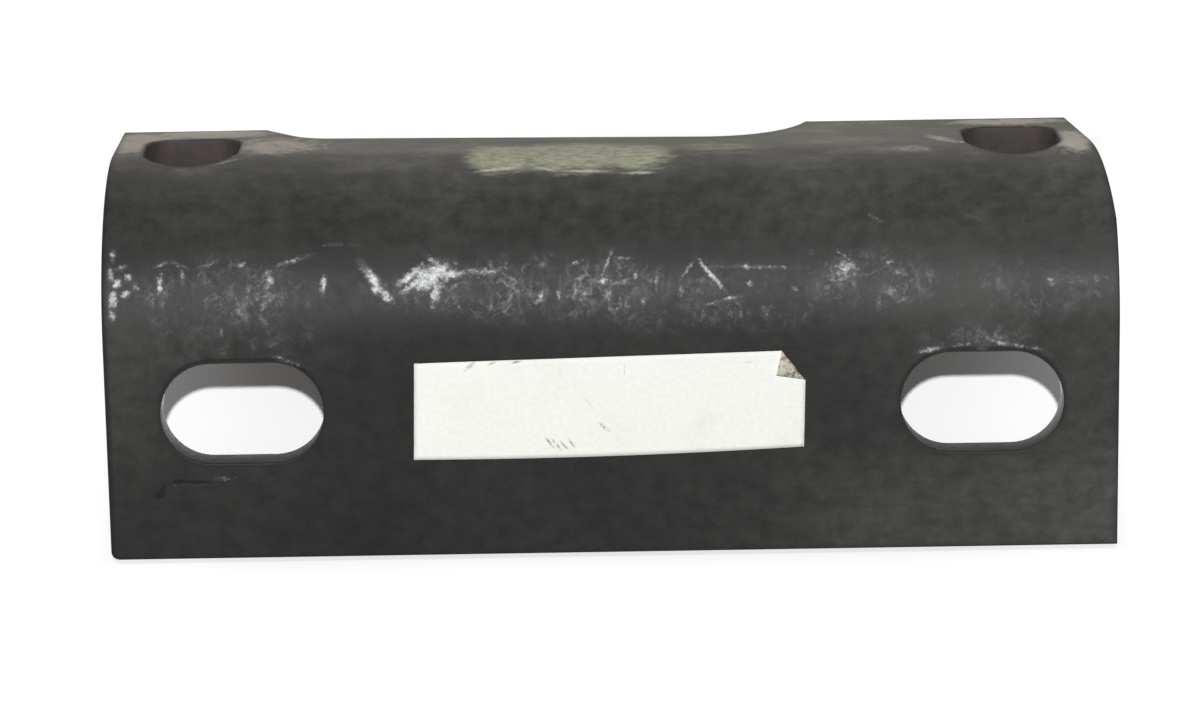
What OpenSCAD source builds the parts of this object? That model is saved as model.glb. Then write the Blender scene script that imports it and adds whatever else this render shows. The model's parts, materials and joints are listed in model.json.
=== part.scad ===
// Forklift bracket: a thick steel plate bent once into an angle, with two slots
// in each leg, a cut-away in the back edge, and a stuck-on blank paper label.
// The outer face of the upright leg is the plane Y = 0. The origin is midway
// between the two slots of that leg, X runs along the bend and Z points up.

/* [Plate] */
// Length along the bend
plate_length = 230; // [160:1:320]
// Plate thickness
plate_t = 8; // [5:0.5:14]
// Height of the upright leg, bottom edge to top face
leg_height = 87; // [80:1:140]
// Depth of the flange, front face to back edge
flange_depth = 65; // [58:1:110]
// Outside radius of the bend
bend_r = 37; // [18:1:40]
// Radius of the worn bottom left corner
corner_r = 1.8; // [0.5:0.1:6]

/* [Leg slots] */
// Distance of each slot centre from its end of the plate
leg_slot_end = 31; // [28:0.5:45]
// End to end length of a slot
leg_slot_length = 37; // [26:1:50]
// Width of a slot
leg_slot_width = 23; // [12:0.5:24]
// Height of the slot centres above the bottom edge
leg_slot_up = 34; // [20:1:36]

/* [Flange slots] */
// Distance of the left slot centre from the left end
flange_slot_left_end = 18; // [16:0.5:22]
// Distance of the right slot centre from the right end
flange_slot_right_end = 21; // [20:0.5:30]
// End to end length of a slot
flange_slot_length = 26; // [24:0.5:32]
// Width of a slot
flange_slot_width = 22; // [12:0.5:23]
// Rounding of the two corners at the back end of a slot
flange_slot_back_r = 5.5; // [2:0.5:5.5]
// Distance of the slot centres from the back edge
flange_slot_inset = 24; // [18:0.5:30]

/* [Back edge relief] */
// Width of the tab left of the cut-away
left_tab = 34; // [32:1:60]
// Width of the tab right of the cut-away
right_tab = 68; // [40:1:80]
// Depth of the cut-away at its left end
relief_left_depth = 11.4; // [3:0.2:16]
// Depth of the cut-away at its right end
relief_right_depth = 17.6; // [4:0.2:22]
// Width of the left slope
relief_left_run = 10; // [2:0.5:16]
// Width of the right slope
relief_right_run = 6.5; // [4:0.5:30]
// Rounding at the foot of the left slope
relief_left_r = 12; // [1:0.5:20]
// Rounding at the foot of the right slope
relief_right_r = 24; // [1:0.5:30]

/* [Right end taper] */
// Width taken off at the back edge
taper_width = 6.1; // [1:0.1:8]
// Length of the taper from the back edge
taper_length = 56; // [30:1:57]

/* [Paper label] */
// Length of the label
label_length = 88.7; // [60:0.1:110]
// Height of the label
label_height = 22.5; // [12:0.1:30]
// Thickness of the paper
label_t = 0.25; // [0.15:0.05:0.6]
// Sideways offset of the label from the middle of the plate
label_shift = -0.6; // [-6:0.1:6]
// Height of the label's middle above the slot centres
label_up = 0.8; // [-3:0.1:3]
// Tilt of the label in degrees
label_tilt = 1.1; // [-4:0.1:4]
// Folded corner, measured along the top edge
fold_along = 5.7; // [2:0.1:12]
// Folded corner, measured down the right edge
fold_down = 7.5; // [2:0.1:12]

/* [Hidden] */
$fn = 96;
cut = 1;
// A rounding this much larger than its tangent circle leaves no sliver face
round_over = 0.005;
// A rounding takes up at most this share of the edges beside it
edge_share = 0.95;
bottom_z = -leg_slot_up;
top_z = leg_height - leg_slot_up;
bend_z = top_z - bend_r;
half_length = plate_length / 2;
flange_slot_y = flange_depth - flange_slot_inset;
leg_slot_x = half_length - leg_slot_end;
flange_slot_x = [flange_slot_left_end - half_length, half_length - flange_slot_right_end];
relief_left = left_tab - half_length;
relief_right = half_length - right_tab;
relief_points = [
    [relief_left, flange_depth],
    [relief_left + relief_left_run, flange_depth - relief_left_depth],
    [relief_right - relief_right_run, flange_depth - relief_right_depth],
    [relief_right, flange_depth]
];

function unit(v) = v / norm(v);

// Box between two opposite corners
module block(low, high) {
    translate(low)
        cube(high - low);
}

// Straight prism of a plan outline between two heights
module prism(points, low, high) {
    translate([0, 0, low])
        linear_extrude(height = high - low)
            polygon(points);
}

// Rounded slot along X, cut downwards from Z = 0
module slot_cut(length, width, depth) {
    run = length - width;
    for (side = [-1, 1])
        translate([side * run / 2, 0, -depth])
            cylinder(h = depth, d = width);
    translate([-run / 2, -width / 2, -depth])
        cube([run, width, depth]);
}

// The sliver between a sharp plan corner and its rounding. It reaches past the
// corner's two edges, so that it leaves no film beside a neighbouring cut.
module corner_sliver(corner, toward_a, toward_b, r, low, high) {
    a = unit(toward_a - corner);
    b = unit(toward_b - corner);
    half = acos(a * b) / 2;
    room = edge_share * min(norm(toward_a - corner), norm(toward_b - corner));
    reach = min(r / tan(half), room);
    middle = unit(a + b);
    centre = corner + middle * reach / cos(half);
    tip_a = corner + a * reach;
    tip_b = corner + b * reach;
    difference() {
        prism([
            corner - middle * cut / sin(half),
            tip_a + unit(tip_a - centre) * cut,
            centre,
            tip_b + unit(tip_b - centre) * cut
        ], low, high);
        translate([centre[0], centre[1], low - cut])
            cylinder(h = high - low + 2 * cut, r = reach * tan(half) + round_over);
    }
}

// Quarter ring that joins the leg and the flange
module bend() {
    intersection() {
        translate([-half_length, bend_r, bend_z])
            rotate([0, 90, 0])
                difference() {
                    cylinder(h = plate_length, r = bend_r);
                    translate([0, 0, -cut])
                        cylinder(h = plate_length + 2 * cut, r = bend_r - plate_t);
                }
        block([-half_length, 0, bend_z], [half_length, bend_r, top_z]);
    }
}

module bent_plate() {
    union() {
        block([-half_length, 0, bottom_z], [half_length, plate_t, bend_z]);
        bend();
        block([-half_length, bend_r, top_z - plate_t], [half_length, flange_depth, top_z]);
    }
}

// Cut-away in the back edge, rounded at the foot of each slope
module relief_cut() {
    low = bend_z;
    high = top_z + cut;
    p = relief_points;
    open_edge = [[p[3][0], flange_depth + cut], [p[0][0], flange_depth + cut]];
    difference() {
        prism(concat(p, open_edge), low, high);
        corner_sliver(p[1], p[0], p[2], relief_left_r, low - cut, high + cut);
        corner_sliver(p[2], p[1], p[3], relief_right_r, low - cut, high + cut);
    }
}

// Slanted cut along the right end of the flange
module taper_cut() {
    start_y = flange_depth - taper_length;
    prism([
        [half_length, start_y],
        [half_length - taper_width, flange_depth],
        [half_length - taper_width, flange_depth + cut],
        [half_length + cut, flange_depth + cut],
        [half_length + cut, start_y]
    ], bend_z, top_z + cut);
}

// Rounding of the bottom left corner of the leg
module corner_cut() {
    translate([-half_length, plate_t + cut, bottom_z])
        rotate([90, 0, 0])
            difference() {
                translate([-cut, -cut, 0])
                    cube([corner_r + cut, corner_r + cut, plate_t + 2 * cut]);
                translate([corner_r, corner_r, -cut])
                    cylinder(h = plate_t + 4 * cut, r = corner_r);
            }
}

module leg_slot_cuts() {
    for (side = [-1, 1])
        translate([side * leg_slot_x, -cut, 0])
            rotate([90, 0, 0])
                slot_cut(leg_slot_length, leg_slot_width, plate_t + 2 * cut);
}

// Slot along Y, cut downwards from Z = 0, with a full round towards the bend and
// two rounded corners towards the back edge
module flange_slot_cut(depth) {
    half_w = flange_slot_width / 2;
    half_l = flange_slot_length / 2;
    round_y = half_w - half_l;
    corner_x = half_w - flange_slot_back_r;
    corner_y = half_l - flange_slot_back_r;
    translate([0, round_y, -depth])
        cylinder(h = depth, r = half_w);
    block([-half_w, round_y, -depth], [half_w, corner_y, 0]);
    block([-corner_x, corner_y, -depth], [corner_x, half_l, 0]);
    for (side = [-1, 1])
        translate([side * corner_x, corner_y, -depth])
            cylinder(h = depth, r = flange_slot_back_r);
}

module flange_slot_cuts() {
    for (x = flange_slot_x)
        translate([x, flange_slot_y, top_z + cut])
            flange_slot_cut(bend_r + cut);
}

module bracket() {
    color([0.20, 0.20, 0.20])
        difference() {
            bent_plate();
            leg_slot_cuts();
            flange_slot_cuts();
            relief_cut();
            taper_cut();
            corner_cut();
        }
}

// Sheet with its top right corner folded over onto its front
module paper_label() {
    half_l = label_length / 2;
    half_h = label_height / 2;
    fold_top = [half_l - fold_along, half_h];
    fold_side = [half_l, half_h - fold_down];
    corner = [half_l, half_h];
    along = unit(fold_side - fold_top);
    foot = fold_top + along * ((corner - fold_top) * along);
    flap_tip = 2 * foot - corner;
    color([0.93, 0.93, 0.90])
        translate([label_shift, 0, label_up])
            rotate([90, -label_tilt, 0]) {
                linear_extrude(height = label_t)
                    polygon([[-half_l, -half_h], [half_l, -half_h], fold_side, fold_top, [-half_l, half_h]]);
                translate([0, 0, label_t])
                    linear_extrude(height = label_t)
                        polygon([fold_top, flap_tip, fold_side]);
            }
}

bracket();
paper_label();
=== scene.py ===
import json
import math
from collections import namedtuple

import bmesh
import bpy
from mathutils import Matrix, Vector


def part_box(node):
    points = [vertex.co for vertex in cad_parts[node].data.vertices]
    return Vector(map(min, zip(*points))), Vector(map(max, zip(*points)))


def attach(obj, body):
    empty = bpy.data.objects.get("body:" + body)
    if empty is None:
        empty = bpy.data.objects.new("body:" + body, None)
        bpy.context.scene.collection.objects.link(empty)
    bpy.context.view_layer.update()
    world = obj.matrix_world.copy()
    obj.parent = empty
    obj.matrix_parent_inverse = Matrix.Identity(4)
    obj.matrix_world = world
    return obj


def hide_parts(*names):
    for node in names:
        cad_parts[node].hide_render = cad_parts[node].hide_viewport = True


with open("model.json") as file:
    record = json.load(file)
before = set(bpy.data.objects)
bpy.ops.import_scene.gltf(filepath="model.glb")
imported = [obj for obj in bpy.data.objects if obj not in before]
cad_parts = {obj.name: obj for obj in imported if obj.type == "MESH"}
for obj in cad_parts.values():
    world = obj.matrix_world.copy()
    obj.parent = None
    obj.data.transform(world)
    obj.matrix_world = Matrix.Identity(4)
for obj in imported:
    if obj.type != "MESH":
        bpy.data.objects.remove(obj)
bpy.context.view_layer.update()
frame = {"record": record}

# The part's sizes are in millimetres; the table, the lamps and the frame's places are in metres
MM = 0.001
plate_low, plate_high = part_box("bracket")
mounts = {mount["name"]: mount for mount in frame["record"]["mounts"]}
leg_slots = mounts["leg_slots"]["dims"]
flange_slots = mounts["flange_slots"]["dims"]
flange_slots_at = [value / MM for value in mounts["flange_slots"]["pos_m"]]

HALF_LENGTH = plate_high[0] / MM
BOTTOM_Z = plate_low[2] / MM
TOP_Z = plate_high[2] / MM
BACK_Y = plate_high[1] / MM
PLATE_T = 8.0
BEND_R = 37.0
BEND_Z = TOP_Z - BEND_R
LEG_RUN = BEND_Z - BOTTOM_Z
BEND_RUN = BEND_R * math.pi / 2
BLANK_RUN = LEG_RUN + BEND_RUN + BACK_Y - BEND_R

# Knees of the back edge cut-away: along the bend, in front of the back edge, rounding
CUTAWAY = [(47, 0, 0), (40.5, 17.6, 24), (-71, 11.4, 12), (-81, 0, 0)]
TAPER_WIDTH = 6.1
TAPER_START_Y = 9.0
CORNER_R = 1.8
SLOT_CORNER_R = 5.5

# Rounding of the edges
LEFT_EDGE_R = 0.5
PLAIN_EDGE_R = 0.3
LEG_SLOT_R = 0.4
LEG_SLOT_TOP_R = 1.3
FLANGE_SLOT_R = 0.6
BACK_EDGE_R = 0.3
RIM_FADE = 0.25
RIM_BAND = 1.7
ROUND_STEPS = 4
ARC_STEP = math.radians(7.5)
TAPER_STEPS = 12
BEND_STEPS = 36
BLANK_SNAP = 1e-4

# Rust on the cut faces, from none to full
OUTER_RUST = 0.3
LEG_SLOT_RUST = 0.35
FLANGE_SLOT_RUST = 1.0


def blank_run(y):
    """Distance up the outer face from the bottom edge to a place of the bend or flange at depth y."""
    if y >= BEND_R:
        return LEG_RUN + BEND_RUN + y - BEND_R
    return LEG_RUN + BEND_R * math.acos((BEND_R - y) / BEND_R)


def fold(blank):
    """Place in metres of a point of the flat blank: along the bend, up the outer face, into the plate."""
    u, s, depth = blank
    turn = (s - LEG_RUN) / BEND_R
    if turn <= 0:
        place = (u, depth, BOTTOM_Z + s)
    elif turn < math.pi / 2:
        reach = BEND_R - depth
        place = (u, BEND_R - reach * math.cos(turn), BEND_Z + reach * math.sin(turn))
    else:
        place = (u, BEND_R + s - LEG_RUN - BEND_RUN, TOP_Z - depth)
    return Vector(place) * MM


def arc(centre, radius, start, end):
    """Points of an arc from one angle to another, ends included."""
    count = max(2, math.ceil(abs(end - start) / ARC_STEP))
    angles = [start + (end - start) * step / count for step in range(count + 1)]
    return [centre + radius * Vector((math.cos(a), math.sin(a))) for a in angles]


def rounded_corner(before, corner, after, radius):
    """Arc that takes the place of an outline's corner."""
    towards_before = (before - corner).normalized()
    towards_after = (after - corner).normalized()
    half = towards_before.angle(towards_after) / 2
    centre = corner + (towards_before + towards_after).normalized() * radius / math.sin(half)
    tips = [corner + side * radius / math.tan(half) - centre for side in (towards_before, towards_after)]
    start = math.atan2(tips[0].y, tips[0].x)
    sweep = -tips[0].angle_signed(tips[1])
    return arc(centre, radius, start, start + sweep)


def plate_outline():
    """Outer edge of the blank, anticlockwise, with the numbers of its sharp corners."""
    bottom_left = Vector((-HALF_LENGTH, 0))
    points = rounded_corner(Vector((-HALF_LENGTH, LEG_RUN)), bottom_left, Vector((0, 0)), CORNER_R)
    sharp = [len(points)]
    points.append(Vector((HALF_LENGTH, 0)))
    for step in range(TAPER_STEPS + 1):
        y = TAPER_START_Y + (BACK_Y - TAPER_START_Y) * step / TAPER_STEPS
        points.append(Vector((HALF_LENGTH - TAPER_WIDTH * step / TAPER_STEPS, blank_run(y))))
    sharp.append(len(points) - 1)
    knees = [Vector((u, BLANK_RUN - depth)) for u, depth, _ in CUTAWAY]
    back_left = Vector((-HALF_LENGTH, BLANK_RUN))
    path = [points[-1], *knees, back_left]
    for number, (_, _, radius) in enumerate(CUTAWAY, start=1):
        if radius:
            points += rounded_corner(path[number - 1], path[number], path[number + 1], radius)
        else:
            sharp.append(len(points))
            points.append(path[number])
    sharp.append(len(points))
    points.append(back_left)
    return points, sharp


def leg_slot_outlines():
    """Clockwise outlines with a full round at both ends."""
    radius = leg_slots["hole_r_mm"]
    run = Vector((leg_slots["slot_length_mm"] / 2 - radius, 0))
    quarter = math.pi / 2
    for side in (-1, 1):
        centre = Vector((side * leg_slots["spacing_x_mm"] / 2, -BOTTOM_Z))
        right = arc(centre + run, radius, quarter, -quarter)
        left = arc(centre - run, radius, -quarter, -3 * quarter)
        yield right + left


def flange_slot_outlines():
    """Clockwise outlines with two rounded corners at the back and a full round towards the bend."""
    radius = flange_slots["hole_r_mm"]
    half_length = flange_slots["slot_length_mm"] / 2
    corner = Vector((radius - SLOT_CORNER_R, half_length - SLOT_CORNER_R))
    round_at = Vector((0, radius - half_length))
    for side in (-1, 1):
        aside = side * flange_slots["spacing_x_mm"] / 2
        centre = Vector((flange_slots_at[0] + aside, flange_slots_at[1]))
        back_left = arc(centre + Vector((-corner.x, corner.y)), SLOT_CORNER_R, math.pi, math.pi / 2)
        back_right = arc(centre + corner, SLOT_CORNER_R, math.pi / 2, 0)
        front = arc(centre + round_at, radius, 0, -math.pi)
        plan = back_left + back_right + front
        yield [Vector((point.x, blank_run(point.y))) for point in plan]


Ring = namedtuple("Ring", "inset depth rim wall")
CUT_LAYERS = ("rim", "wall", "rust")


def edge_rings(front_r):
    """Rings of a finished edge, from the front face round both roundings to the back face."""
    quarter = [math.pi / 2 * step / ROUND_STEPS for step in range(ROUND_STEPS + 1)]
    rings = [Ring(RIM_BAND, 0, 0, 0), Ring(front_r + RIM_FADE, 0, 0.5, 0)]
    for a in quarter:
        rings.append(Ring(front_r * (1 - math.sin(a)), front_r * (1 - math.cos(a)), 1, math.sin(a)))
    rings.append(Ring(0, PLATE_T / 2, 0.2, 1))
    for a in quarter:
        inset = BACK_EDGE_R * (1 - math.cos(a))
        depth = PLATE_T - BACK_EDGE_R * (1 - math.sin(a))
        rings.append(Ring(inset, depth, 1, math.cos(a)))
    return rings + [Ring(BACK_EDGE_R + RIM_FADE, PLATE_T, 0.5, 0), Ring(RIM_BAND, PLATE_T, 0, 0)]


def inward_steps(points):
    """Step of each outline point that carries it one millimetre into the plate."""
    steps = []
    for number, point in enumerate(points):
        arrive = (point - points[number - 1]).normalized()
        leave = (points[(number + 1) % len(points)] - point).normalized()
        normals = [Vector((-way.y, way.x)) for way in (arrive, leave)]
        middle = (normals[0] + normals[1]).normalized()
        steps.append(middle / middle.dot(normals[0]))
    return steps


def finished_edge(bm, points, front_r, rust, sharp=()):
    """Skins one outline of the blank from face to face, and returns its front and back loops of edges."""
    rim_layer, wall_layer, rust_layer = [bm.verts.layers.float[name] for name in CUT_LAYERS]
    steps = inward_steps(points)
    profiles = [edge_rings(front_r(point)) for point in points]

    def settle(vert, number, ring_number):
        ring = profiles[number][ring_number]
        place = points[number] + steps[number] * ring.inset
        vert.co = (place.x, place.y, ring.depth)
        vert[rim_layer] = ring.rim
        vert[wall_layer] = ring.wall
        vert[rust_layer] = ring.wall * rust

    loop = [bm.verts.new() for _ in points]
    for number, vert in enumerate(loop):
        settle(vert, number, 0)
    edges = [bm.edges.new((vert, loop[number - 1])) for number, vert in enumerate(loop)]
    front_edges = edges
    for ring_number in range(1, len(profiles[0])):
        made = bmesh.ops.extrude_edge_only(bm, edges=edges)["geom"]
        edges = [item for item in made if isinstance(item, bmesh.types.BMEdge)]
        numbers = {vert: number for number, vert in enumerate(loop)}
        next_loop = [None] * len(loop)
        for vert in (item for item in made if isinstance(item, bmesh.types.BMVert)):
            rib = next(edge for edge in vert.link_edges if edge.other_vert(vert) in numbers)
            number = numbers[rib.other_vert(vert)]
            rib.smooth = number not in sharp
            settle(vert, number, ring_number)
            next_loop[number] = vert
        loop = next_loop
        edges = [edge for edge in edges if edge.verts[0] in loop and edge.verts[1] in loop]
    return front_edges, edges


def piece_from(bm, name, materials, replaced):
    """Turns a finished bmesh into a piece that stands for a node of the frame."""
    mesh = bpy.data.meshes.new(name)
    bm.to_mesh(mesh)
    bm.free()
    mesh.shade_smooth()
    piece = bpy.data.objects.new(name, mesh)
    bpy.context.scene.collection.objects.link(piece)
    for material in materials:
        mesh.materials.append(material)
    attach(piece, "root")
    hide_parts(replaced)
    return piece


def bent_plate(steel):
    """The bracket: the blank is cut out flat, its edges are finished and it is folded once."""
    bm = bmesh.new()
    for layer in CUT_LAYERS:
        bm.verts.layers.float.new(layer)
    outline, sharp = plate_outline()

    def outer_round(point):
        return LEFT_EDGE_R if point.x < CORNER_R - HALF_LENGTH else PLAIN_EDGE_R

    def leg_slot_round(point):
        height = (point.y + BOTTOM_Z) / leg_slots["hole_r_mm"]
        return LEG_SLOT_R + (LEG_SLOT_TOP_R - LEG_SLOT_R) * max(0, height)

    def flange_slot_round(point):
        return FLANGE_SLOT_R

    loops = [finished_edge(bm, outline, outer_round, OUTER_RUST, sharp)]
    for points in leg_slot_outlines():
        loops.append(finished_edge(bm, points, leg_slot_round, LEG_SLOT_RUST))
    for points in flange_slot_outlines():
        loops.append(finished_edge(bm, points, flange_slot_round, FLANGE_SLOT_RUST))
    for side in (0, 1):
        edges = [edge for loop in loops for edge in loop[side]]
        bmesh.ops.triangle_fill(bm, use_beauty=True, edges=edges)
    for step in range(BEND_STEPS + 1):
        crease = Vector((0, LEG_RUN + BEND_RUN * step / BEND_STEPS, 0))
        everything = [*bm.verts, *bm.edges, *bm.faces]
        bmesh.ops.bisect_plane(bm, geom=everything, dist=BLANK_SNAP, plane_co=crease, plane_no=(0, 1, 0))
    blank_layer = bm.verts.layers.float_vector.new("blank")
    for vert in bm.verts:
        vert[blank_layer] = vert.co
        vert.co = fold(vert.co)
    bmesh.ops.recalc_face_normals(bm, faces=bm.faces)
    if bm.calc_volume(signed=True) < 0:
        bmesh.ops.reverse_faces(bm, faces=bm.faces)
    return piece_from(bm, "bent_plate", [steel], "bracket")


# Paper label: its sheet, how it lies on the leg and its folded corner. A ripple has radians for each
# millimetre and a phase.
LABEL_LENGTH = 88.7
LABEL_HEIGHT = 22.5
LABEL_T = 0.12
LABEL_CENTRE = (-0.6, 0.8)
LABEL_TILT = math.radians(1.1)
LABEL_LEAN = 0.045
LABEL_SAG = 0.7
LABEL_CELLS = (72, 22)
STAND_OFF = 0.24
RIPPLE = 0.07
RIPPLE_ALONG = (0.19, 0.6)
RIPPLE_UP = (0.31, 0.4)
LOOSE_FROM = 0.86
LOOSE_LIFT = 1.6
FOLD_ALONG = 5.7
FOLD_DOWN = 7.5
FOLD_TURN = math.radians(166)
FOLD_STEPS = 3
FOLD_GAP = 0.12
PAPER_SNAP = 1e-3


def paper_wave(x, y):
    """How far the sheet stands off the leg; its corners are loose, apart from the folded one."""
    along = math.sin(RIPPLE_ALONG[0] * x + RIPPLE_ALONG[1])
    up = math.sin(RIPPLE_UP[0] * y + RIPPLE_UP[1])
    stand_off = STAND_OFF + RIPPLE * (along * up)
    if x > 0 and y > 0:
        return stand_off
    near_end = max(0, abs(x) / (LABEL_LENGTH / 2) - LOOSE_FROM)
    lift = near_end * abs(y) / (LABEL_HEIGHT / 2) * (0.5 + 0.5 * math.sin(2 * x + y))
    return stand_off + LOOSE_LIFT * lift


def label_sheet(paper, paper_back):
    """The label: a sheet with its top right corner folded over onto its front."""
    bm = bmesh.new()
    bmesh.ops.create_grid(bm, x_segments=LABEL_CELLS[0], y_segments=LABEL_CELLS[1], size=0.5)
    bmesh.ops.scale(bm, vec=(LABEL_LENGTH, LABEL_HEIGHT, 1), verts=bm.verts)
    fold_top = Vector((LABEL_LENGTH / 2 - FOLD_ALONG, LABEL_HEIGHT / 2, 0))
    fold_side = Vector((LABEL_LENGTH / 2, LABEL_HEIGHT / 2 - FOLD_DOWN, 0))
    crease = (fold_side - fold_top).normalized()
    outward = Vector((-crease.y, crease.x, 0))
    hinges = [fold_top + outward * FOLD_GAP * step for step in range(FOLD_STEPS)]
    for hinge in hinges:
        everything = [*bm.verts, *bm.edges, *bm.faces]
        bmesh.ops.bisect_plane(bm, geom=everything, dist=PAPER_SNAP, plane_co=hinge, plane_no=outward)
    corners = []
    for hinge in hinges:
        corners.append([vert for vert in bm.verts if (vert.co - hinge).dot(outward) > PAPER_SNAP])
    for vert in bm.verts:
        x, y, _ = vert.co
        sag = LABEL_SAG * max(0, -2 * y / LABEL_HEIGHT) * (1 - (2 * x / LABEL_LENGTH) ** 2)
        vert.co = (x + LABEL_LEAN * y, y - sag, paper_wave(x, y))
    turn = Matrix.Rotation(FOLD_TURN / FOLD_STEPS, 3, crease)
    for hinge, corner in reversed(list(zip(hinges, corners))):
        lifted = hinge + Vector((LABEL_LEAN * hinge.y, 0, paper_wave(hinge.x, hinge.y)))
        bmesh.ops.rotate(bm, cent=lifted, matrix=turn, verts=corner)
    stand = Matrix.Translation(Vector((LABEL_CENTRE[0], 0, LABEL_CENTRE[1])) * MM)
    stand @= Matrix.Rotation(-LABEL_TILT, 4, "Y") @ Matrix.Rotation(math.pi / 2, 4, "X")
    bmesh.ops.transform(bm, matrix=stand @ Matrix.Scale(MM, 4), verts=bm.verts)
    piece = piece_from(bm, "label_sheet", [paper, paper_back], "paper_label")
    thickness = piece.modifiers.new("thickness", "SOLIDIFY")
    thickness.thickness = LABEL_T * MM
    thickness.offset = -1
    thickness.material_offset = 1
    return piece


def put(tree, kind, inputs=None, **settings):
    """Adds a node; an input is a value or another node's output."""
    made = tree.nodes.new(kind)
    for name, value in settings.items():
        setattr(made, name, value)
    for name, value in (inputs or {}).items():
        if isinstance(value, bpy.types.NodeSocket):
            tree.links.new(value, made.inputs[name])
        else:
            made.inputs[name].default_value = value
    return made


def calculate(tree, operation, first, second):
    """Result of a sum on two values."""
    return put(tree, "ShaderNodeMath", {0: first, 1: second}, operation=operation).outputs[0]


def between(tree, value, low, high, out_low=0.0, out_high=1.0):
    """Smooth step of a value from one level to another."""
    inputs = {"Value": value, "From Min": low, "From Max": high, "To Min": out_low, "To Max": out_high}
    return put(tree, "ShaderNodeMapRange", inputs, interpolation_type="SMOOTHSTEP").outputs["Result"]


def blend(tree, factor, first, second):
    """Colour between two colours."""
    inputs = {"Factor": factor, "A": first, "B": second}
    return put(tree, "ShaderNodeMix", inputs, data_type="RGBA").outputs["Result"]


# A field of noise: scale, detail, roughness, and the stretch of its place along the bend and up the face
Field = namedtuple("Field", "scale detail roughness stretch", defaults=[None])


def noise(tree, place, field, output="Fac"):
    """Level, or colour, of a field of noise."""
    if field.stretch:
        place = put(tree, "ShaderNodeMapping", {"Vector": place, "Scale": field.stretch}).outputs["Vector"]
    inputs = {"Vector": place, "Scale": field.scale, "Detail": field.detail, "Roughness": field.roughness}
    return put(tree, "ShaderNodeTexNoise", inputs).outputs[output]


def grey(level):
    """Colour with one level in all channels."""
    return (level, level, level, 1)


def new_group(name, inputs, outputs):
    """Shader node group with its sockets; inputs and outputs map names to kinds."""
    group = bpy.data.node_groups.new(name, "ShaderNodeTree")
    for in_out, sockets in (("INPUT", inputs), ("OUTPUT", outputs)):
        for socket, kind in sockets.items():
            group.interface.new_socket(name=socket, in_out=in_out, socket_type=f"NodeSocket{kind}")
    return group, group.nodes.new("NodeGroupInput"), group.nodes.new("NodeGroupOutput")


# A mark's place hangs by this little on the mark before it, so that the shader works them out one by one
MARK_NUDGE = 1e-5


def mark_group():
    """Adds one worn mark to those before it: an ellipse that fades towards its rim."""
    inputs = {
        "Blank": "Vector",
        "Before": "Float",
        "Centre": "Vector",
        "Turn": "Vector",
        "Reach": "Vector",
        "Core": "Float",
        "Strength": "Float",
    }
    group, given, result = new_group("worn_mark", inputs, {"Mask": "Float"})
    before = given.outputs["Before"]
    nudge = calculate(group, "MULTIPLY", before, MARK_NUDGE)
    place = put(group, "ShaderNodeVectorMath", {0: given.outputs["Blank"], 1: nudge}, operation="ADD")
    mapping = {
        "Vector": place.outputs[0],
        "Location": given.outputs["Centre"],
        "Rotation": given.outputs["Turn"],
        "Scale": given.outputs["Reach"],
    }
    local = put(group, "ShaderNodeMapping", mapping, vector_type="TEXTURE").outputs["Vector"]
    away = put(group, "ShaderNodeVectorMath", {0: local}, operation="LENGTH").outputs["Value"]
    shown = between(group, away, given.outputs["Core"], 1.0, given.outputs["Strength"], 0.0)
    strongest = calculate(group, "MAXIMUM", before, shown)
    group.links.new(strongest, result.inputs["Mask"])
    return group


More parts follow.
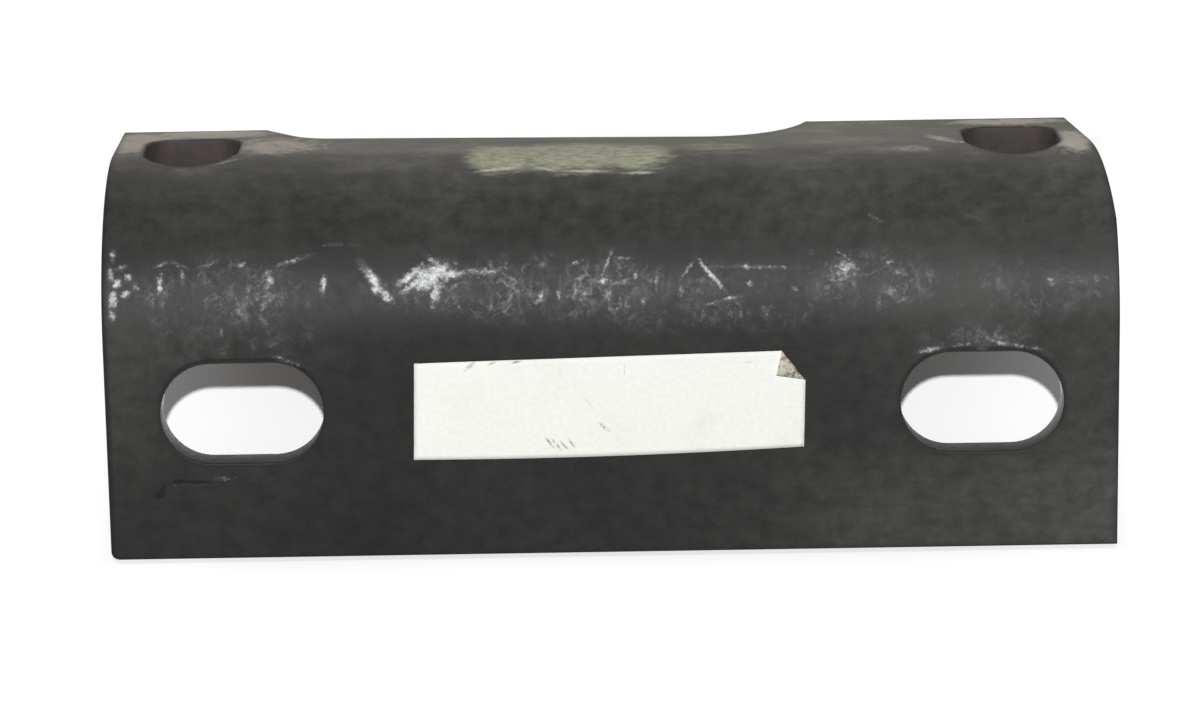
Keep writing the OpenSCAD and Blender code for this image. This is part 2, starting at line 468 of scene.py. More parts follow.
# A mark on the plate: centre along the bend and up the outer face, half length, half width, turn, strength
Mark = namedtuple("Mark", "u s length width turn strength")
MARK_DEPTH = 3.0
BRIGHT_MARKS = [
    Mark(-53, 64, 4.8, 1.1, -53, 0.9),
    Mark(-45.2, 65.2, 3.4, 1.0, 41, 0.9),
    Mark(-40.5, 65.0, 5.0, 2.6, 25, 1.0),
    Mark(-43.5, 63.8, 4.8, 0.9, 32, 0.9),
    Mark(-38.5, 67.6, 3.4, 0.8, -35, 0.8),
    Mark(-36.2, 65.6, 3.2, 1.1, 0, 0.9),
    Mark(-39.5, 61.0, 3.4, 1.1, 80, 0.8),
    Mark(-52.2, 62.4, 1.6, 1.3, 0, 0.9),
    Mark(-50.3, 60.3, 1.3, 1.1, 0, 0.9),
    Mark(-29.3, 66, 5.0, 0.8, 0, 0.55),
    Mark(-23, 64.6, 2.2, 0.45, -32, 0.6),
    Mark(-15.7, 60.2, 0.7, 1.2, 0, 0.8),
    Mark(-11.8, 60.6, 0.6, 1.1, 0, 0.5),
    Mark(-7.7, 67.7, 1.5, 0.6, 20, 0.5),
    Mark(-1.1, 66.3, 4.0, 0.5, 69, 0.55),
    Mark(-1.9, 63.4, 1.2, 1.0, 0, 0.75),
    Mark(2.9, 68.5, 2.2, 0.4, 0, 0.5),
    Mark(5.6, 64.4, 1.8, 0.4, 75, 0.4),
    Mark(2.7, 62.6, 4.0, 0.4, 0, 0.35),
    Mark(7.3, 58.7, 0.8, 0.8, 0, 0.5),
    Mark(17.3, 65.5, 3.0, 0.4, 53, 0.4),
    Mark(15.9, 61.8, 2.0, 0.4, 95, 0.4),
    Mark(23, 64.2, 4.2, 0.6, -50, 0.85),
    Mark(26, 58.7, 4.2, 0.5, 13, 0.45),
    Mark(33.2, 66, 9.0, 0.5, -2, 0.4),
    Mark(31, 66.1, 0.8, 0.7, 0, 0.6),
    Mark(31.6, 62.2, 0.8, 0.7, 0, 0.45),
    Mark(53.2, 65.3, 2.8, 2.2, 0, 0.6),
    Mark(53.8, 67.5, 3.0, 0.5, -41, 0.4),
    Mark(63, 66.4, 2.6, 0.45, 41, 0.35),
    Mark(64.7, 64.4, 0.9, 0.8, 0, 0.5),
    Mark(41.6, 60.9, 0.7, 0.7, 0, 0.5),
    Mark(60.5, 77.3, 2.6, 0.4, -30, 0.3),
    Mark(83.2, 77, 2.8, 0.4, -24, 0.2),
    Mark(100, 62.2, 2.2, 1.8, 0, 0.35),
    Mark(106, 62.1, 7.5, 1.4, 0, 0.25),
    Mark(-112.2, 60.9, 1.0, 2.2, 0, 0.9),
    Mark(-112.6, 57.6, 0.7, 1.6, 0, 0.6),
    Mark(-109.5, 62.0, 1.4, 0.8, 30, 0.6),
    Mark(-111.2, 64.6, 1.6, 1.0, 60, 0.6),
    Mark(-112.9, 66.4, 0.7, 1.8, 0, 0.7),
    Mark(-107.4, 63.8, 0.8, 1.2, 0, 0.5),
    Mark(-110.6, 68.0, 1.5, 0.6, 15, 0.5),
    Mark(-112.4, 71.1, 0.7, 1.4, 0, 0.6),
    Mark(-108.7, 65.8, 1.1, 0.9, 0, 0.6),
    Mark(-101.2, 68.8, 2.2, 0.5, 20, 0.45),
    Mark(-97.6, 68.7, 2.2, 0.5, -21, 0.45),
    Mark(-101.7, 64.1, 2.2, 0.7, 85, 0.85),
    Mark(-96.7, 65.9, 2.4, 0.6, 100, 0.45),
    Mark(-90.5, 68.6, 2.6, 0.5, 17, 0.45),
    Mark(-83.6, 68.5, 1.6, 0.5, 11, 0.45),
    Mark(-77.2, 64.9, 1.3, 2.2, 0, 0.6),
    Mark(-71.6, 69.2, 4.0, 0.6, 18, 0.5),
    Mark(-64.8, 63.5, 2.2, 0.7, 85, 0.85),
    Mark(-62, 72.9, 4.5, 0.5, 0, 0.2),
    Mark(-73, 46, 3.8, 0.6, -18, 0.55),
    Mark(-88, 19, 2.6, 0.5, 2, 0.25),
    Mark(72.5, 46.4, 3.2, 0.7, 4, 0.6),
    Mark(79, 47.3, 2.5, 0.5, 10, 0.4),
    Mark(84, 46.6, 2.0, 0.8, 0, 0.5),
    Mark(88.5, 47.7, 2.5, 0.6, -12, 0.5),
    Mark(93.5, 46.7, 3.0, 0.6, -8, 0.55),
]
GREEN_MARKS = [
    Mark(-24, 103, 13, 14, 0, 1.0),
    Mark(-8, 103.3, 26, 14.5, 0, 1.0),
    Mark(6, 102, 13, 12.5, 0, 0.95),
    Mark(26, 107, 17, 8, -4, 0.42),
]
PALE_MARKS = [
    Mark(-25, 95.2, 6.5, 0.9, 10, 0.8),
    Mark(-14.5, 95, 3.5, 0.7, -20, 0.6),
    Mark(-5, 93.8, 8, 0.6, -3, 0.6),
    Mark(7.3, 92.8, 4.5, 0.8, 0, 0.6),
    Mark(-92.5, 133.4, 12, 1.6, 1, 0.6),
    Mark(-72, 109, 5.6, 1.0, -40, 0.25),
    Mark(-65.8, 113.5, 6.5, 0.5, 92, 0.25),
    Mark(-88, 101.2, 4.6, 0.6, 34, 0.35),
    Mark(77.7, 112, 7.0, 2.4, -58, 0.5),
    Mark(70, 103, 6.5, 3.2, -14, 0.25),
    Mark(82.2, 107.8, 0.8, 1.4, 0, 0.75),
    Mark(107.6, 104.5, 3.2, 7, 10, 0.45),
]
TAN_MARKS = [
    Mark(-109, 123, 14, 20, 0, 1.0),
    Mark(-78, 116, 18, 15, 0, 0.8),
    Mark(-94, 131.5, 28, 8, 0, 1.0),
    Mark(95, 131.5, 22, 6, 0, 1.0),
    Mark(107, 110, 9, 16, 0, 1.0),
]
SCUFFED_BANDS = [
    Mark(-88, 61, 30, 12, 0, 0.75),
    Mark(-10, 62, 56, 10, 0, 0.9),
    Mark(58, 63, 26, 9, 0, 0.85),
    Mark(-84, 52, 36, 9, 0, 0.2),
    Mark(20, 56, 44, 6, 0, 0.5),
    Mark(95, 60, 28, 10, 0, 0.3),
    Mark(84, 49, 18, 5, 0, 0.5),
]
DARK_MARKS = [
    Mark(-103.2, 15.3, 2.8, 1.3, 62, 1.0),
    Mark(-95, 18.0, 5.0, 0.75, 0, 0.85),
    Mark(-99, 18.2, 2.6, 0.9, 8, 0.9),
    Mark(-114.9, 30, 1.5, 62, 0, 0.6),
]


def marks_mask(tree, group, blank, marks, core, spread=1.0):
    """Strongest of several worn marks, each spread past its size."""
    strongest = 0.0
    for mark in marks:
        inputs = {
            "Blank": blank,
            "Before": strongest,
            "Centre": (mark.u, mark.s, 0),
            "Turn": (0, 0, math.radians(mark.turn)),
            "Reach": (mark.length * spread, mark.width * spread, MARK_DEPTH),
            "Core": core,
            "Strength": mark.strength,
        }
        strongest = put(tree, "ShaderNodeGroup", inputs, node_tree=group).outputs["Mask"]
    return strongest


def new_material(name):
    """Material with a plain surface shader, its node tree and that shader."""
    material = bpy.data.materials.new(name)
    material.use_nodes = True
    tree = material.node_tree
    tree.nodes.clear()
    shader = put(tree, "ShaderNodeBsdfPrincipled")
    output = put(tree, "ShaderNodeOutputMaterial")
    tree.links.new(shader.outputs["BSDF"], output.inputs["Surface"])
    return material, tree, shader


def ramp(tree, value, stops):
    """Value read from a curve of straight pieces; stops are positions from 0 to 1 with their levels."""
    made = put(tree, "ShaderNodeValToRGB", {"Fac": value})
    band = made.color_ramp.elements
    while len(band) < len(stops):
        band.new(0.5)
    for element, (position, level) in zip(band, stops):
        element.position = position
        element.color = grey(level)
    return made.outputs["Color"]


# Level of the scale along the lower leg, the middle leg and the bend, at shares of the length,
# and what is added up the blank, at shares of its height: towards the flange this is partly dust
# and partly painted sheen, a lighter colour that stands in for the flange's grazing reflection
SCALE_LOW = [(0.0, 0.016), (0.25, 0.010), (0.5, 0.015), (0.66, 0.023), (0.8, 0.040), (1.0, 0.056)]
SCALE_MIDDLE = [
    (0.0, 0.030),
    (0.12, 0.022),
    (0.24, 0.012),
    (0.50, 0.014),
    (0.74, 0.020),
    (0.90, 0.033),
    (1.0, 0.033),
]
SCALE_BEND = [(0.0, 0.012), (0.5, 0.017), (1.0, 0.027)]
SCALE_UP_DUST_AND_SHEEN = [
    (0.0, 0.0),
    (0.28, 0.0),
    (0.36, 0.004),
    (0.50, 0.004),
    (0.56, 0.016),
    (0.68, 0.038),
    (0.74, 0.062),
    (0.80, 0.108),
    (1.0, 0.108),
]


def tinted(tree, level, tint):
    """Colour of one tint at a varying level."""
    return put(tree, "ShaderNodeVectorMath", {0: tint, "Scale": level}, operation="SCALE").outputs[0]


# Directions of the scuffs: turn, length and width of a stroke, with a shift that keeps them apart
STROKES = [(78, 5.0, 2.0), (32, 5.5, 2.2), (-52, 4.6, 2.0)]
STROKE_SHIFT = Vector((31.0, 17.0, 0))
STROKE_NOISE = Field(1.0, 2.0, 0.6)
CLUMP_NOISE = Field(0.11, 4, 0.65)
BROKEN_NOISE = Field(1.3, 3, 0.7)
HAZE_NOISE = Field(0.32, 5, 0.75)
SMEAR_NOISE = Field(0.55, 4, 0.65, (1.0, 0.28, 1))


def scuff_strokes(tree, blank, worn):
    """Short strokes in several directions and a broken haze, in clumps."""
    clump = between(tree, noise(tree, blank, CLUMP_NOISE), 0.40, 0.60)
    strongest = 0.0
    for number, (turn, length, width) in enumerate(STROKES):
        mapping = {
            "Vector": worn,
            "Location": STROKE_SHIFT * number,
            "Rotation": (0, 0, math.radians(turn)),
            "Scale": (length, width, 1),
        }
        drawn = put(tree, "ShaderNodeMapping", mapping, vector_type="TEXTURE").outputs["Vector"]
        stroke = between(tree, noise(tree, drawn, STROKE_NOISE), 0.54, 0.84)
        strongest = calculate(tree, "MAXIMUM", stroke, strongest)
    broken = between(tree, noise(tree, blank, BROKEN_NOISE), 0.3, 0.6, 0.2, 0.62)
    strokes = calculate(tree, "MULTIPLY", strongest, broken)
    haze = between(tree, noise(tree, worn, HAZE_NOISE), 0.46, 0.78, 0.0, 0.28)
    scuffs = calculate(tree, "MULTIPLY", calculate(tree, "MAXIMUM", strokes, haze), clump)
    smear = between(tree, noise(tree, blank, SMEAR_NOISE), 0.48, 0.75, 0.0, 0.06)
    return calculate(tree, "ADD", scuffs, smear)


def torn(tree, mask, field, depth, low, high):
    """Mask with its rim eaten into by a field of noise."""
    shift = calculate(tree, "MULTIPLY", calculate(tree, "SUBTRACT", field, 0.5), depth)
    eaten = between(tree, calculate(tree, "ADD", mask, shift), low, high)
    return calculate(tree, "MULTIPLY", eaten, between(tree, mask, 0.02, 0.2))


# Colours of the plate
LEG_TINT = (1.0, 0.99, 0.94, 1)
FLANGE_TINT = (1.0, 0.93, 0.76, 1)
INNER_RUST = (0.070, 0.050, 0.038, 1)
TAN_WEAR = (0.435, 0.38, 0.33, 1)
GREEN_DARK = (0.24, 0.24, 0.168, 1)
GREEN_LIGHT = (0.455, 0.455, 0.345, 1)
PALE_SCRAPE = (0.48, 0.48, 0.40, 1)
# bare steel of the scuffs, made near-white partly as a painted glint
BARE_STEEL_AND_GLINT = (0.80, 0.81, 0.82, 1)
PIT_BLACK = grey(0.004)
RIM_DARK = (0.010, 0.008, 0.0075, 1)
CHIP_PALE = (0.50, 0.47, 0.42, 1)
CUT_LOW = (0.010, 0.009, 0.0085, 1)
CUT_HIGH = (0.022, 0.020, 0.019, 1)
RUST_DARK = (0.036, 0.029, 0.025, 1)
RUST_LIGHT = (0.056, 0.046, 0.040, 1)

# Heights up the blank, or depths into it, between which one finish passes into the next
LOW_TO_MIDDLE = (10, 30)
SILL_TO_ROOF = (24, 40)
LEG_TO_BEND = (46, 72)
TINT_CHANGE = (85, 110)
DUST_BEGINS = (88, 104)
DRY_BEGINS = (88, 110)
CHIPS_BEGIN = (100, 128)
INNER_SIDE = (0.6 * PLATE_T, 0.95 * PLATE_T)

# Unevenness of the plate's finish
MOTTLE_NOISE = Field(0.22, 5, 0.7)
GRAIN_NOISE = Field(1.6, 3, 0.6)
CLOUD_NOISE = Field(0.028, 4, 0.55)
ROLLED_NOISE = Field(0.6, 3, 0.6, (0.12, 1.0, 1))
DUST_NOISE = Field(0.09, 5, 0.65, (0.5, 1.0, 1))
BLOOM_NOISE = Field(0.045, 6, 0.7)
WARP_NOISE = Field(0.9, 3, 0.6)
WARP_REACH = 1.2
RUBBED_NOISE = Field(0.5, 5, 0.7, (0.3, 1.0, 1))
STREAK_NOISE = Field(0.9, 4, 0.7, (0.4, 1.0, 1))
SCRAPED_NOISE = Field(0.55, 6, 0.72)
CHIP_NOISE = Field(0.4, 4, 0.6)
STEEL_SHINE = 0.3
PIT_DEPTH = 1.5
BUMP_STRENGTH = 0.25
BUMP_HEIGHT = 0.0003


def scale_tone(tree, blank, axes, mottle):
    """Mill scale: its level changes along the plate and up it, lighter on the flange partly from dust and
    partly as painted sheen, with dust on the flange and rust inside.
    """
    cloud = noise(tree, blank, CLOUD_NOISE)
    rolled = noise(tree, blank, ROLLED_NOISE)
    along = calculate(tree, "DIVIDE", calculate(tree, "ADD", axes["X"], HALF_LENGTH), 2 * HALF_LENGTH)
    up = calculate(tree, "DIVIDE", axes["Y"], BLANK_RUN)
    low_leg = ramp(tree, along, SCALE_LOW)
    middle_leg = ramp(tree, along, SCALE_MIDDLE)
    leg = blend(tree, between(tree, axes["Y"], *LOW_TO_MIDDLE), low_leg, middle_leg)
    level = blend(tree, between(tree, axes["Y"], *LEG_TO_BEND), leg, ramp(tree, along, SCALE_BEND))
    # painted sheen: the rise up the blank lightens the flange partly for dust and partly to stand in for
    # its grazing reflection
    level = calculate(tree, "ADD", level, ramp(tree, up, SCALE_UP_DUST_AND_SHEEN))
    dust = between(tree, noise(tree, blank, DUST_NOISE), 0.42, 0.68, -0.012, 0.05)
    dust = calculate(tree, "MULTIPLY", between(tree, axes["Y"], *DUST_BEGINS), dust)
    level = calculate(tree, "ADD", level, dust)
    for field, low, high in ((cloud, 0.8, 1.2), (mottle, 0.75, 1.25), (rolled, 0.94, 1.06)):
        level = calculate(tree, "MULTIPLY", level, between(tree, field, 0.3, 0.7, low, high))
    tint = blend(tree, between(tree, axes["Y"], *TINT_CHANGE), LEG_TINT, FLANGE_TINT)
    tone = tinted(tree, level, tint)
    inside = between(tree, axes["Z"], *INNER_SIDE, 0.0, 0.6)
    bloom = between(tree, noise(tree, blank, BLOOM_NOISE), 0.46, 0.66)
    return blend(tree, calculate(tree, "MULTIPLY", bloom, inside), tone, INNER_RUST)


def warped(tree, blank):
    """Place on the blank, shaken a little so that marks have uneven rims."""
    shake = noise(tree, blank, WARP_NOISE, "Color")
    shift = put(tree, "ShaderNodeVectorMath", {0: shake, 1: (0.5, 0.5, 0.5)}, operation="SUBTRACT")
    shift = put(tree, "ShaderNodeVectorMath", {0: shift.outputs[0], "Scale": WARP_REACH}, operation="SCALE")
    return put(tree, "ShaderNodeVectorMath", {0: blank, 1: shift.outputs[0]}, operation="ADD").outputs[0]


def worn_tone(tree, group, blank, mottle, grain, tone):
    """Tan wear, a rubbed green patch, pale scrapes, bright scuffs that are partly bare steel and partly
    painted glint, and dark pits, with the pits' mask.
    """
    worn = warped(tree, blank)
    tan = torn(tree, marks_mask(tree, group, worn, TAN_MARKS, 0.2), mottle, 2.2, 0.1, 1.0)
    tone = blend(tree, tan, tone, TAN_WEAR)

    rubbed = noise(tree, blank, RUBBED_NOISE)
    green = torn(tree, marks_mask(tree, group, blank, GREEN_MARKS, 0.25), rubbed, 1.5, 0.05, 0.95)
    streak = between(tree, noise(tree, blank, STREAK_NOISE), 0.3, 0.7)
    green_tone = blend(tree, streak, GREEN_DARK, GREEN_LIGHT)
    tone = blend(tree, green, tone, green_tone)

    scraped = noise(tree, blank, SCRAPED_NOISE)
    pale = torn(tree, marks_mask(tree, group, worn, PALE_MARKS, 0.2, 1.2), scraped, 1.8, -0.1, 1.0)
    tone = blend(tree, pale, tone, PALE_SCRAPE)

    struck = marks_mask(tree, group, worn, BRIGHT_MARKS, 0.0, 1.8)
    bright = torn(tree, struck, scraped, 2.4, 0.18, 1.15)
    bright = calculate(tree, "MULTIPLY", bright, between(tree, grain, 0.3, 0.65, 0.5, 1.0))
    halo = calculate(tree, "MULTIPLY", struck, between(tree, mottle, 0.35, 0.65, 0.02, 0.2))
    bright = calculate(tree, "MAXIMUM", bright, halo)
    band = marks_mask(tree, group, blank, SCUFFED_BANDS, 0.15)
    scuff = calculate(tree, "MULTIPLY", scuff_strokes(tree, blank, worn), band)
    bright = calculate(tree, "MAXIMUM", bright, scuff)
    # painted glint: the scuffs and their haze are blended to near-white steel, partly real wear and partly
    # standing in for glints
    tone = blend(tree, bright, tone, BARE_STEEL_AND_GLINT)

    dark = marks_mask(tree, group, worn, DARK_MARKS, 0.3)
    return blend(tree, dark, tone, PIT_BLACK), dark


def edge_tone(tree, blank, axes, cuts, mottle, tone):
    """Dark rims, chipped on the flange, with brown cut faces and rust in the flange's slots."""
    tone = blend(tree, calculate(tree, "MULTIPLY", cuts["rim"], 0.6), tone, RIM_DARK)
    chipped = between(tree, noise(tree, blank, CHIP_NOISE), 0.50, 0.64)
    chipped = calculate(tree, "MULTIPLY", chipped, cuts["rim"])
    chipped = calculate(tree, "MULTIPLY", chipped, between(tree, axes["Y"], *CHIPS_BEGIN, 0.0, 0.35))
    tone = blend(tree, chipped, tone, CHIP_PALE)
    cut_face = blend(tree, between(tree, axes["Y"], *SILL_TO_ROOF), CUT_LOW, CUT_HIGH)
    tone = blend(tree, calculate(tree, "MULTIPLY", cuts["wall"], 0.8), tone, cut_face)
    rust = blend(tree, between(tree, mottle, 0.3, 0.7), RUST_DARK, RUST_LIGHT)
    return blend(tree, cuts["rust"], tone, rust)


def mill_scale_steel(group):
    """Dark mill scale, worn and scuffed, with brown cut edges."""
    material, tree, shader = new_material("mill_scale_steel")
    blank = put(tree, "ShaderNodeAttribute", attribute_name="blank").outputs["Vector"]
    axes = put(tree, "ShaderNodeSeparateXYZ", {"Vector": blank}).outputs
    cuts = {}
    for layer in CUT_LAYERS:
        cuts[layer] = put(tree, "ShaderNodeAttribute", attribute_name=layer).outputs["Fac"]
    mottle = noise(tree, blank, MOTTLE_NOISE)
    grain = noise(tree, blank, GRAIN_NOISE)

    tone = scale_tone(tree, blank, axes, mottle)
    tone, dark = worn_tone(tree, group, blank, mottle, grain, tone)
    tone = edge_tone(tree, blank, axes, cuts, mottle, tone)
    tree.links.new(tone, shader.inputs["Base Color"])

    shader.inputs["Specular IOR Level"].default_value = STEEL_SHINE
    dry = between(tree, axes["Y"], *DRY_BEGINS, 0.0, 0.05)
    roughness = calculate(tree, "ADD", between(tree, mottle, 0.2, 0.8, 0.48, 0.64), dry)
    coarse = between(tree, axes["Y"], *SILL_TO_ROOF, 0.06, 0.0)
    coarse = calculate(tree, "MULTIPLY", cuts["wall"], coarse)
    roughness = calculate(tree, "ADD", roughness, coarse)
    tree.links.new(roughness, shader.inputs["Roughness"])

    height = calculate(tree, "ADD", calculate(tree, "MULTIPLY", grain, 0.35), mottle)
    height = calculate(tree, "SUBTRACT", height, calculate(tree, "MULTIPLY", dark, PIT_DEPTH))
    relief = {"Height": height, "Strength": BUMP_STRENGTH, "Distance": BUMP_HEIGHT}
    bump = put(tree, "ShaderNodeBump", relief)
    tree.links.new(bump.outputs["Normal"], shader.inputs["Normal"])
    return material


# Smudges on the label, placed along the bend and up the leg from the origin, and colours of its two sides
SMUDGES = [
    Mark(-14.3, -7.8, 2.4, 0.45, -52, 0.65),
    Mark(-12.7, -8.3, 2.6, 0.42, -52, 0.6),
    Mark(-11.0, -8.5, 2.2, 0.42, -50, 0.6),
    Mark(-9.4, -7.9, 2.2, 0.45, -55, 0.5),
    Mark(-1.8, -4.4, 2.1, 0.6, -40, 0.6),
    Mark(-32, 10.4, 2.6, 0.7, 40, 0.4),
    Mark(-27, 11, 1.6, 0.4, 20, 0.5),
    Mark(-21.5, 11.2, 1.8, 0.4, 10, 0.7),
    Mark(2.9, 9.2, 2.0, 0.22, 90, 0.4),
    Mark(-5.5, 1.5, 3.0, 0.5, -50, 0.12),
    Mark(30.5, 10.3, 2.5, 0.3, 2, 0.25),
]
PAPER_DARK = (0.82, 0.825, 0.78, 1)
PAPER_LIGHT = (0.865, 0.87, 0.825, 1)
PAPER_GREY = (0.60, 0.60, 0.55, 1)
SMUDGE_GREY = grey(0.05)
STICKY_BEIGE = (0.57, 0.535, 0.44, 1)
STICKY_GRIME = (0.15, 0.12, 0.09, 1)
FIBRE_NOISE = Field(0.9, 3, 0.55)
STAIN_NOISE = Field(0.07, 4, 0.6)
GRIME_NOISE = Field(700, 4, 0.7)
PAPER_ROUGHNESS = 0.85
PAPER_SHINE = 0.2
STICKY_ROUGHNESS = 0.7


def label_paper(group):
    """Off-white paper with a little grain and some smudges."""
    material, tree, shader = new_material("label_paper")
    place = put(tree, "ShaderNodeTexCoord").outputs["Object"]
    axes = put(tree, "ShaderNodeSeparateXYZ", {"Vector": place}).outputs
    flat = put(tree, "ShaderNodeCombineXYZ", {"X": axes["X"], "Y": axes["Z"]}).outputs["Vector"]
    flat = put(tree, "ShaderNodeVectorMath", {0: flat, "Scale": 1 / MM}, operation="SCALE").outputs[0]
    fibre = noise(tree, flat, FIBRE_NOISE)
    stain = noise(tree, flat, STAIN_NOISE)
    colour = blend(tree, between(tree, fibre, 0.3, 0.7), PAPER_DARK, PAPER_LIGHT)
    colour = blend(tree, between(tree, stain, 0.5, 0.8, 0, 0.2), colour, PAPER_GREY)
    smudge = marks_mask(tree, group, flat, SMUDGES, 0.2)
    smudge = calculate(tree, "MULTIPLY", smudge, between(tree, fibre, 0.35, 0.55))
    colour = blend(tree, smudge, colour, SMUDGE_GREY)
    tree.links.new(colour, shader.inputs["Base Color"])
    shader.inputs["Roughness"].default_value = PAPER_ROUGHNESS
    shader.inputs["Specular IOR Level"].default_value = PAPER_SHINE
    return material


def label_back_paper():
    """The sheet's sticky side, seen on the folded corner: beige, with grime stuck to it."""
    material, tree, shader = new_material("label_back")
    place = put(tree, "ShaderNodeTexCoord").outputs["Object"]
    grime = noise(tree, place, GRIME_NOISE)
    colour = blend(tree, between(tree, grime, 0.42, 0.7), STICKY_BEIGE, STICKY_GRIME)
    tree.links.new(colour, shader.inputs["Base Color"])
    shader.inputs["Roughness"].default_value = STICKY_ROUGHNESS
    return material


# Camera, table and light. The bracket lies on the bottom edge of its leg and the back edge of its flange.
VIEW_TARGET = Vector((-2.569, 0, 12.701)) * MM
VIEW_DISTANCE = 1009.57 * MM
VIEW_ELEVATION = math.radians(13.802)
VIEW_ROLL = math.radians(-0.92)
FOCAL_PIXELS = 4465.0
IMAGE_WIDTH = 1200
SENSOR_WIDTH = 36.0
NEAR_CLIP = 0.01


def towards(elevation):
    """Direction from the leg's face to a point in front of it."""
    return Vector((0, -math.cos(elevation), math.sin(elevation)))


def place_camera():
    """Camera at the place and angle of the photograph."""
    data = bpy.data.cameras.new("camera")
    data.sensor_width = SENSOR_WIDTH
    data.lens = FOCAL_PIXELS * SENSOR_WIDTH / IMAGE_WIDTH
    data.clip_start = NEAR_CLIP
    camera = bpy.data.objects.new("camera", data)
    back = towards(VIEW_ELEVATION)
    upright = back.to_track_quat("Z", "Y").to_matrix().to_4x4()
    camera.matrix_world = Matrix.Translation(VIEW_TARGET + back * VIEW_DISTANCE) @ upright
    camera.matrix_world @= Matrix.Rotation(VIEW_ROLL, 4, "Z")
    bpy.context.scene.collection.objects.link(camera)
    bpy.context.scene.camera = camera


# Table: its size, the two lines that the bracket lies on, and its glow and whiteness, with painted light
# towards the plate's ends and a painted faint shade around the bracket's outline
TABLE_SIZE = 6.0
LEG_FOOT = Vector((0, PLATE_T, BOTTOM_Z)) * MM
FLANGE_FOOT = Vector((0, BACK_Y, TOP_Z - PLATE_T)) * MM
TABLE_GLOW = 0.74
# Painted shade: the glow is held lower within this reach of the bracket's outline, leaving a pale grey band
# beside it
FAR_GLOW = 0.28
PAINTED_SHADE_REACH = 0.012
# Painted light: the table glows more towards the plate's ends, also under the bracket, standing in for
# light that comes in at the open ends
ENDS_PAINTED_LIGHT = 0.05
ENDS_FROM = 0.075
ENDS_TO = 0.105
FOOT_BLUR = 0.001
TENT_WHITE = 0.97
OPEN_WHITE = 0.15


def table_finish():
    """Pale table that keeps the shadow, shines white in the plate, and is clear from below; its glow is
    lower next to the bracket's outline as a painted faint shade, and higher towards the plate's ends as
    painted light.
    """
    material = bpy.data.materials.new("pale_table")
    material.use_nodes = True
    tree = material.node_tree
    tree.nodes.clear()
    place = put(tree, "ShaderNodeTexCoord").outputs["Object"]
    axes = put(tree, "ShaderNodeSeparateXYZ", {"Vector": place}).outputs
    aside = calculate(tree, "ABSOLUTE", axes["X"], 0.0)
    foot_middle = (LEG_FOOT.z + FLANGE_FOOT.z) / 2
    lengthwise = calculate(tree, "SUBTRACT", aside, plate_high[0])
    crosswise = calculate(tree, "ABSOLUTE", calculate(tree, "SUBTRACT", axes["Z"], foot_middle), 0.0)
    crosswise = calculate(tree, "SUBTRACT", crosswise, FLANGE_FOOT.z - foot_middle)
    outside = calculate(tree, "MAXIMUM", lengthwise, crosswise)
    light = put(tree, "ShaderNodeLightPath").outputs
    open_glow = between(tree, outside, -FOOT_BLUR, FOOT_BLUR, 0.0, TABLE_GLOW)
    # painted shade: the glow only reaches full strength this far from the bracket's outline
    glow_past_painted_shade = between(tree, outside, 0.0, PAINTED_SHADE_REACH, 0.0, FAR_GLOW)
    # painted light on the table towards the plate's ends, also where it lies in the bracket's shade
    ends_painted_light = between(tree, aside, ENDS_FROM, ENDS_TO, 0.0, ENDS_PAINTED_LIGHT)
    camera_glow = calculate(tree, "ADD", calculate(tree, "ADD", open_glow, glow_past_painted_shade), ends_painted_light)
    pale = between(tree, outside, -FOOT_BLUR, FOOT_BLUR, TENT_WHITE, OPEN_WHITE)
    mirrored = calculate(tree, "MAXIMUM", light["Is Glossy Ray"], light["Is Transmission Ray"])
    matt = put(tree, "ShaderNodeBsdfDiffuse", {"Color": pale})
    glow = put(tree, "ShaderNodeEmission", {"Color": grey(1.0), "Strength": camera_glow})
    seen = put(tree, "ShaderNodeAddShader", {0: matt.outputs[0], 1: glow.outputs[0]})
    white = put(tree, "ShaderNodeEmission", {"Color": grey(1.0), "Strength": 1.0})
    look = put(tree, "ShaderNodeMixShader", {0: mirrored, 1: seen.outputs[0], 2: white.outputs[0]})
    back = put(tree, "ShaderNodeNewGeometry").outputs["Backfacing"]
    passing = calculate(tree, "MAXIMUM", light["Is Diffuse Ray"], light["Is Shadow Ray"])
    hidden = calculate(tree, "MAXIMUM", back, passing)
    clear = put(tree, "ShaderNodeBsdfTransparent")
    final = put(tree, "ShaderNodeMixShader", {0: hidden, 1: look.outputs[0], 2: clear.outputs[0]})
    output = put(tree, "ShaderNodeOutputMaterial")
    tree.links.new(final.outputs[0], output.inputs["Surface"])
    return material


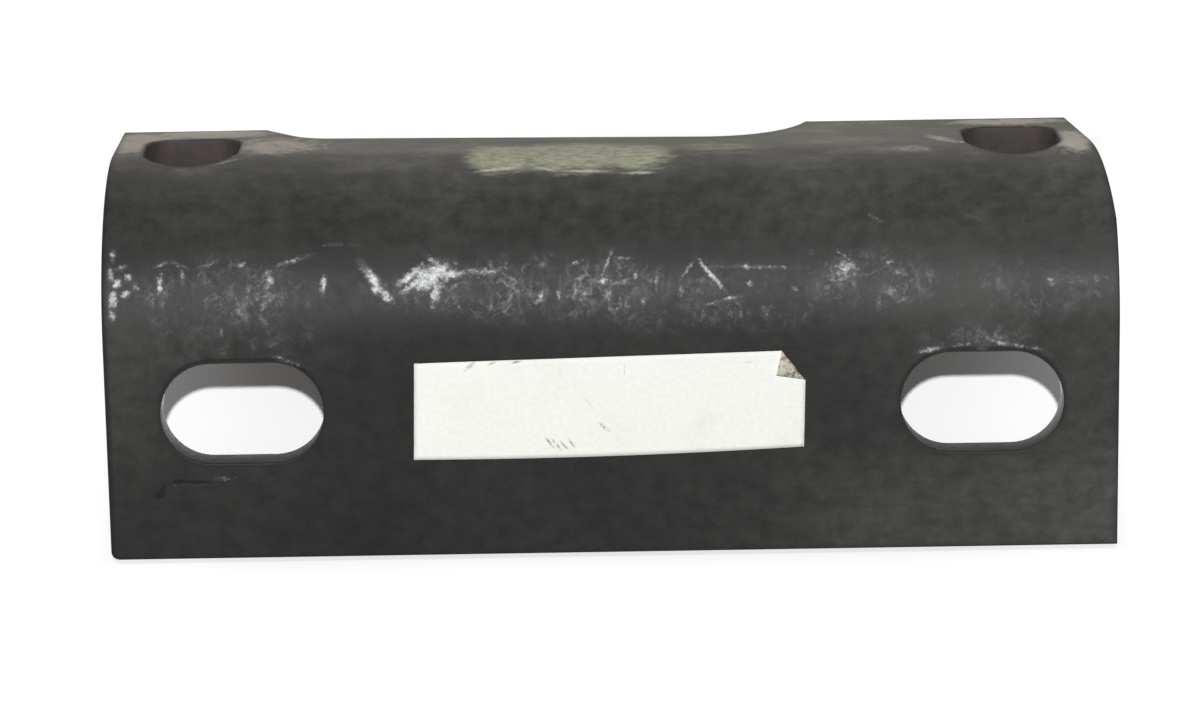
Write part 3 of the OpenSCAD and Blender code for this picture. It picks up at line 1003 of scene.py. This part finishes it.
def lay_table():
    """Sloping table under the bracket's two feet."""
    bm = bmesh.new()
    bmesh.ops.create_grid(bm, x_segments=1, y_segments=1, size=TABLE_SIZE / 2)
    slope = FLANGE_FOOT - LEG_FOOT
    lean = Matrix.Rotation(math.atan2(slope.z, slope.y), 4, "X")
    middle = Matrix.Translation((LEG_FOOT + FLANGE_FOOT) / 2)
    bmesh.ops.transform(bm, matrix=middle @ lean, verts=bm.verts)
    mesh = bpy.data.meshes.new("table")
    bm.to_mesh(mesh)
    bm.free()
    mesh.materials.append(table_finish())
    table = bpy.data.objects.new("table", mesh)
    bpy.context.scene.collection.objects.link(table)


LAMP_DISTANCE = 1.6
KEY_ELEVATION = math.radians(23.5)
KEY_SIZE = 0.056
KEY_WATTS = 22.5
BACK_PLACE = Vector((0, 0.9, -0.15))
BACK_SIZE = 0.5
BACK_WATTS = 6.0
SKY_LEVEL = 0.25


def hang_lamp(name, place, aim, size, watts):
    """Round lamp that the camera doesn't see."""
    data = bpy.data.lights.new(name, "AREA")
    data.shape = "DISK"
    data.size = size
    data.energy = watts
    lamp = bpy.data.objects.new(name, data)
    aimed = (place - aim).to_track_quat("Z", "Y").to_matrix().to_4x4()
    lamp.matrix_world = Matrix.Translation(place) @ aimed
    lamp.visible_camera = False
    bpy.context.scene.collection.objects.link(lamp)


def light_scene():
    """A lamp near the lens, a soft lamp for the inside of the angle and an even sky."""
    key_place = VIEW_TARGET + towards(KEY_ELEVATION) * LAMP_DISTANCE
    hang_lamp("key_lamp", key_place, VIEW_TARGET, KEY_SIZE, KEY_WATTS)
    hang_lamp("back_lamp", BACK_PLACE, VIEW_TARGET, BACK_SIZE, BACK_WATTS)
    world = bpy.data.worlds.new("even_sky")
    bpy.context.scene.world = world
    world.use_nodes = True
    tree = world.node_tree
    tree.nodes.clear()
    seen = put(tree, "ShaderNodeLightPath").outputs["Is Camera Ray"]
    level = between(tree, seen, 0, 1, SKY_LEVEL, 1.0)
    sky = put(tree, "ShaderNodeBackground", {"Color": grey(1.0), "Strength": level})
    output = put(tree, "ShaderNodeOutputWorld")
    tree.links.new(sky.outputs[0], output.inputs["Surface"])


worn_mark = mark_group()
bent_plate(mill_scale_steel(worn_mark))
label_sheet(label_paper(worn_mark), label_back_paper())
place_camera()
lay_table()
light_scene()
bpy.context.scene.view_settings.view_transform = "Standard"
